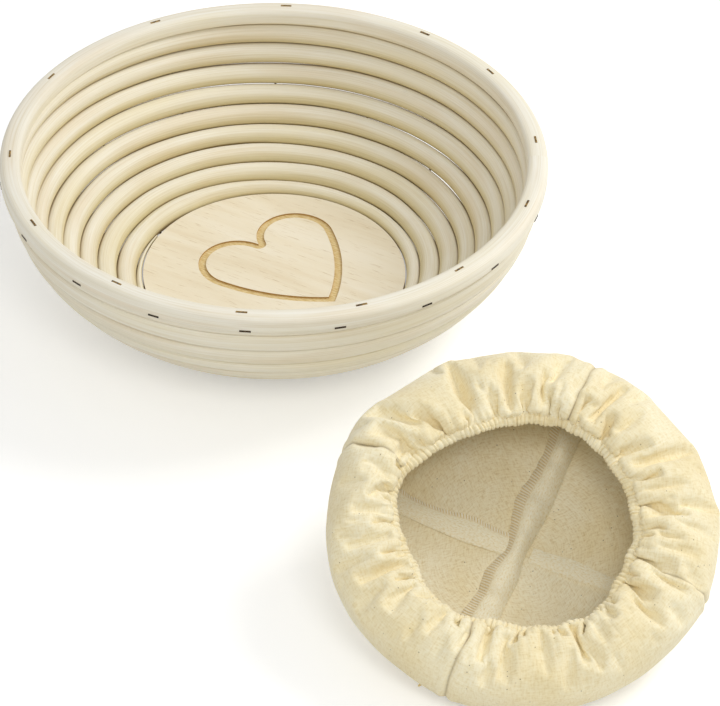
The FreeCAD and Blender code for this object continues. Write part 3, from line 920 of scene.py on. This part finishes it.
# overlocked seam edges inside the liner
# from and to are an azimuth in degrees and a share of the way from the middle to the hem
flaps = {
    "linerSeamLong": {"from": (0, 0.62), "to": (180, 0.62), "width": 13 * mm, "height": 7 * mm, "lean": -1,
                      "node": "liner_seam_long", "knot": 1},
    "linerSeamLeft": {"from": (93, 0.62), "to": (93, 0.035), "width": 10.5 * mm, "height": 1.3 * mm, "lean": 1,
                      "node": "liner_seam_left", "knot": 0},
    "linerSeamRight": {"from": (271, 0.62), "to": (271, 0.035), "width": 7 * mm, "height": 0.7 * mm, "lean": -1,
                       "node": "liner_seam_right", "knot": 0},
}
flapSteps = {"length": 200, "girth": 28, "thickness": 0.9 * mm, "hiddenShare": 0.28}


def seamPath(start, end, count):
    # points along the inside of the bottom from one azimuth and share to another, over the middle if need be
    (fromAngle, fromShare), (toAngle, toShare) = start, end
    travel = np.linspace(-fromShare, toShare if fromAngle != toAngle else -toShare, count)
    places = []
    normals = []
    for value in travel:
        angle = math.radians(fromAngle if value < 0 else toAngle)
        beside = np.array([angle - 0.05, angle, angle + 0.05]) % fullTurn
        near = clothAt(beside, np.abs(np.array([value - 0.012, value, value + 0.012])))
        places.append(near[1, 1])
        rowWay = near[2, 1] - near[0, 1]
        columnWay = near[1, 2] - near[1, 0]
        normals.append(np.cross(columnWay, rowWay))
    places = np.array(places)
    normals = np.array(normals)
    normals[np.einsum("ij,ij->i", normals, linerCentre - places + linerTurn[:, 2] * 0.05) < 0] *= -1
    for _ in range(6):
        normals[1:-1] = (normals[:-2] + normals[1:-1] * 2 + normals[2:]) / 4
    normals = normals / np.maximum(np.linalg.norm(normals, axis=1, keepdims=True), 1e-12)
    for _ in range(4):
        places[1:-1] = (places[:-2] + places[1:-1] * 2 + places[2:]) / 4
    ahead = np.gradient(places, axis=0)
    ahead = ahead / np.linalg.norm(ahead, axis=1, keepdims=True)
    return places, normals, np.cross(normals, ahead)


def layFlap(name, flap):
    count = flapSteps["length"]
    places, normals, sideways = seamPath(flap["from"], flap["to"], count + 1)
    piece, step, over = layGrid(count, flapSteps["girth"])
    step = np.rint(step * count).astype(int)
    length = np.concatenate([[0], np.cumsum(np.linalg.norm(np.diff(places, axis=0), axis=1))])
    s = length[step]
    total = length[-1]
    # the allowance stands up from the seam, rolls over and lies down on the other side
    # the long one is pinched to a knot where the seams cross, and fans out past it
    knot = flap["knot"] * np.exp(-((s / total - 0.5) / 0.05) ** 2)
    fan = flap["knot"] * np.clip((s / total - 0.55) / 0.4, 0, 1)
    width = flap["width"] * (1 + 0.12 * wander(s, 91, 45 * mm)) * (1 - 0.35 * knot) * (1 + 0.35 * fan)
    height = flap["height"] * (1 + 0.18 * wander(s, 92, 30 * mm)) * (1 - 0.3 * fan) + 0.8 * mm * knot
    bendOver = np.sin(np.clip(over, 0, 1) * math.pi) ** 0.8
    side = flap["lean"] * (width * (over - flapSteps["hiddenShare"]) + 0.8 * mm * np.sin(s / (9 * mm)) * over)
    rise = 0.5 * mm + height * bendOver * (1 - 0.45 * over)
    rise = rise + fan * 0.9 * mm * np.sin(over * 14 + s / (20 * mm)) * over             # pleats of the fan
    rise = rise + 0.25 * mm * np.sin(s / (1.1 * mm)) * np.clip((over - 0.75) / 0.2, 0, 1)   # overlocked edge
    place = places[step] + sideways[step] * side[:, None] + normals[step] * rise[:, None]
    writeUv(piece.data, np.column_stack([s, over * flap["width"] * 1.6]))
    writeVerts(piece.data, place)
    placePiece(piece, name, "liner", "seam_cotton", overlockedCotton, flap["node"])
    selectOnly(piece)
    bpy.ops.object.modifier_add(type="SOLIDIFY")
    piece.modifiers[-1].thickness = flapSteps["thickness"]
    piece.modifiers[-1].offset = 0
    bpy.ops.object.modifier_apply(modifier=piece.modifiers[-1].name)
    smoothShade(piece, 70)


for name, flap in flaps.items():
    layFlap(name, flap)
print("seam edges laid")


# kept CAD pieces
for node, material in (("base_board", plywood), ("rim_top_staples", crownWire), ("rim_side_staples", wire),
                       ("cane_nails", wire), ("board_nails", wire)):
    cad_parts[node].data.materials.clear()
    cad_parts[node].data.materials.append(material)


# floor, light and camera
def lookAt(thing, target):
    thing.rotation_euler = (Vector(target) - thing.location).to_track_quat("-Z", "Y").to_euler()


studio = {
    "floorSize": 6,
    "floorPaper": "#F4F4F2",
    "floorGlow": 0.32,      # light that only the eye sees, so that the floor is pale and keeps its shadow
    "airStrength": 0.52,
    "seenAirStrength": 1.0,
}


def seenRays(tree):
    # 1 for rays that show the background to the eye, straight or through gloss and glass
    path = addNode(tree, "ShaderNodeLightPath")
    straight = addNode(tree, "ShaderNodeMath", {"operation": "MAXIMUM"},
                       {0: path.outputs["Is Camera Ray"], 1: path.outputs["Is Glossy Ray"]})
    through = addNode(tree, "ShaderNodeMath", {"operation": "MAXIMUM"},
                      {0: straight.outputs[0], 1: path.outputs["Is Transmission Ray"]})
    return through.outputs[0]


deselectAll()
bpy.ops.mesh.primitive_plane_add(size=studio["floorSize"], location=(0, 0, 0))
floor = bpy.context.object
floor.name = "studioFloor"
floorPaint, tree, shader = newMaterial("studioPaper", roughness=0.9, specular=0.1)
shader.inputs["Base Color"].default_value = paint(studio["floorPaper"])
glow = addNode(tree, "ShaderNodeEmission", Strength=seenRays(tree), Color=(*[studio["floorGlow"]] * 3, 1))
both = addNode(tree, "ShaderNodeAddShader", inputs={0: shader.outputs[0], 1: glow.outputs[0]})
tree.links.new(both.outputs[0], tree.nodes["Material Output"].inputs["Surface"])
floor.data.materials.append(floorPaint)

world = bpy.data.worlds.new("studioAir")
bpy.context.scene.world = world
world.use_nodes = True
tree = world.node_tree
air = tree.nodes["Background"]
strength = addNode(tree, "ShaderNodeMapRange", Value=seenRays(tree), To_Min=studio["airStrength"],
                   To_Max=studio["seenAirStrength"])
tree.links.new(strength.outputs[0], air.inputs["Strength"])
air.inputs["Color"].default_value = (1, 1, 1, 1)

lamps = {
    "keyLamp": {"place": (1.1, 0.35, 1.2), "size": 0.7, "power": 12},
    "fillLamp": {"place": (-0.9, -1.2, 1.1), "size": 1.2, "power": 2},
    "frontLamp": {"place": (0.25, -0.95, 1.0), "size": 0.4, "power": 3.0, "target": (0.11, -0.24, 0.03)},
}
for name, lamp in lamps.items():
    data = bpy.data.lights.new(name, "AREA")
    data.size = lamp["size"]
    data.energy = lamp["power"]
    thing = bpy.data.objects.new(name, data)
    bpy.context.collection.objects.link(thing)
    thing.location = lamp["place"]
    lookAt(thing, lamp.get("target", (0.05, -0.1, 0)))

view = {
    "distance": 1642 * mm,
    "elevation": math.radians(38.71),
    "roll": math.radians(1.06),
    "right": 39.1 * mm,
    "up": -90.9 * mm,
    "aim": Vector((0, 0, 73.0 * mm)),
    "lens": 180,
    "sensor": 36,
}
forward = Vector((0, math.cos(view["elevation"]), -math.sin(view["elevation"])))
level = Vector((1, 0, 0))
upright = level.cross(forward)
across = level * math.cos(view["roll"]) + upright * math.sin(view["roll"])
up = upright * math.cos(view["roll"]) - level * math.sin(view["roll"])
spot = view["aim"] - forward * view["distance"] + across * view["right"] + up * view["up"]
cameraData = bpy.data.cameras.new("viewCamera")
cameraData.lens = view["lens"]
cameraData.sensor_width = view["sensor"]
cameraData.clip_end = 10
camera = bpy.data.objects.new("viewCamera", cameraData)
bpy.context.collection.objects.link(camera)
camera.matrix_world = Matrix.Translation(spot) @ Matrix((across, up, -forward)).transposed().to_4x4()
bpy.context.scene.camera = camera
bpy.context.scene.view_settings.view_transform = "Standard"
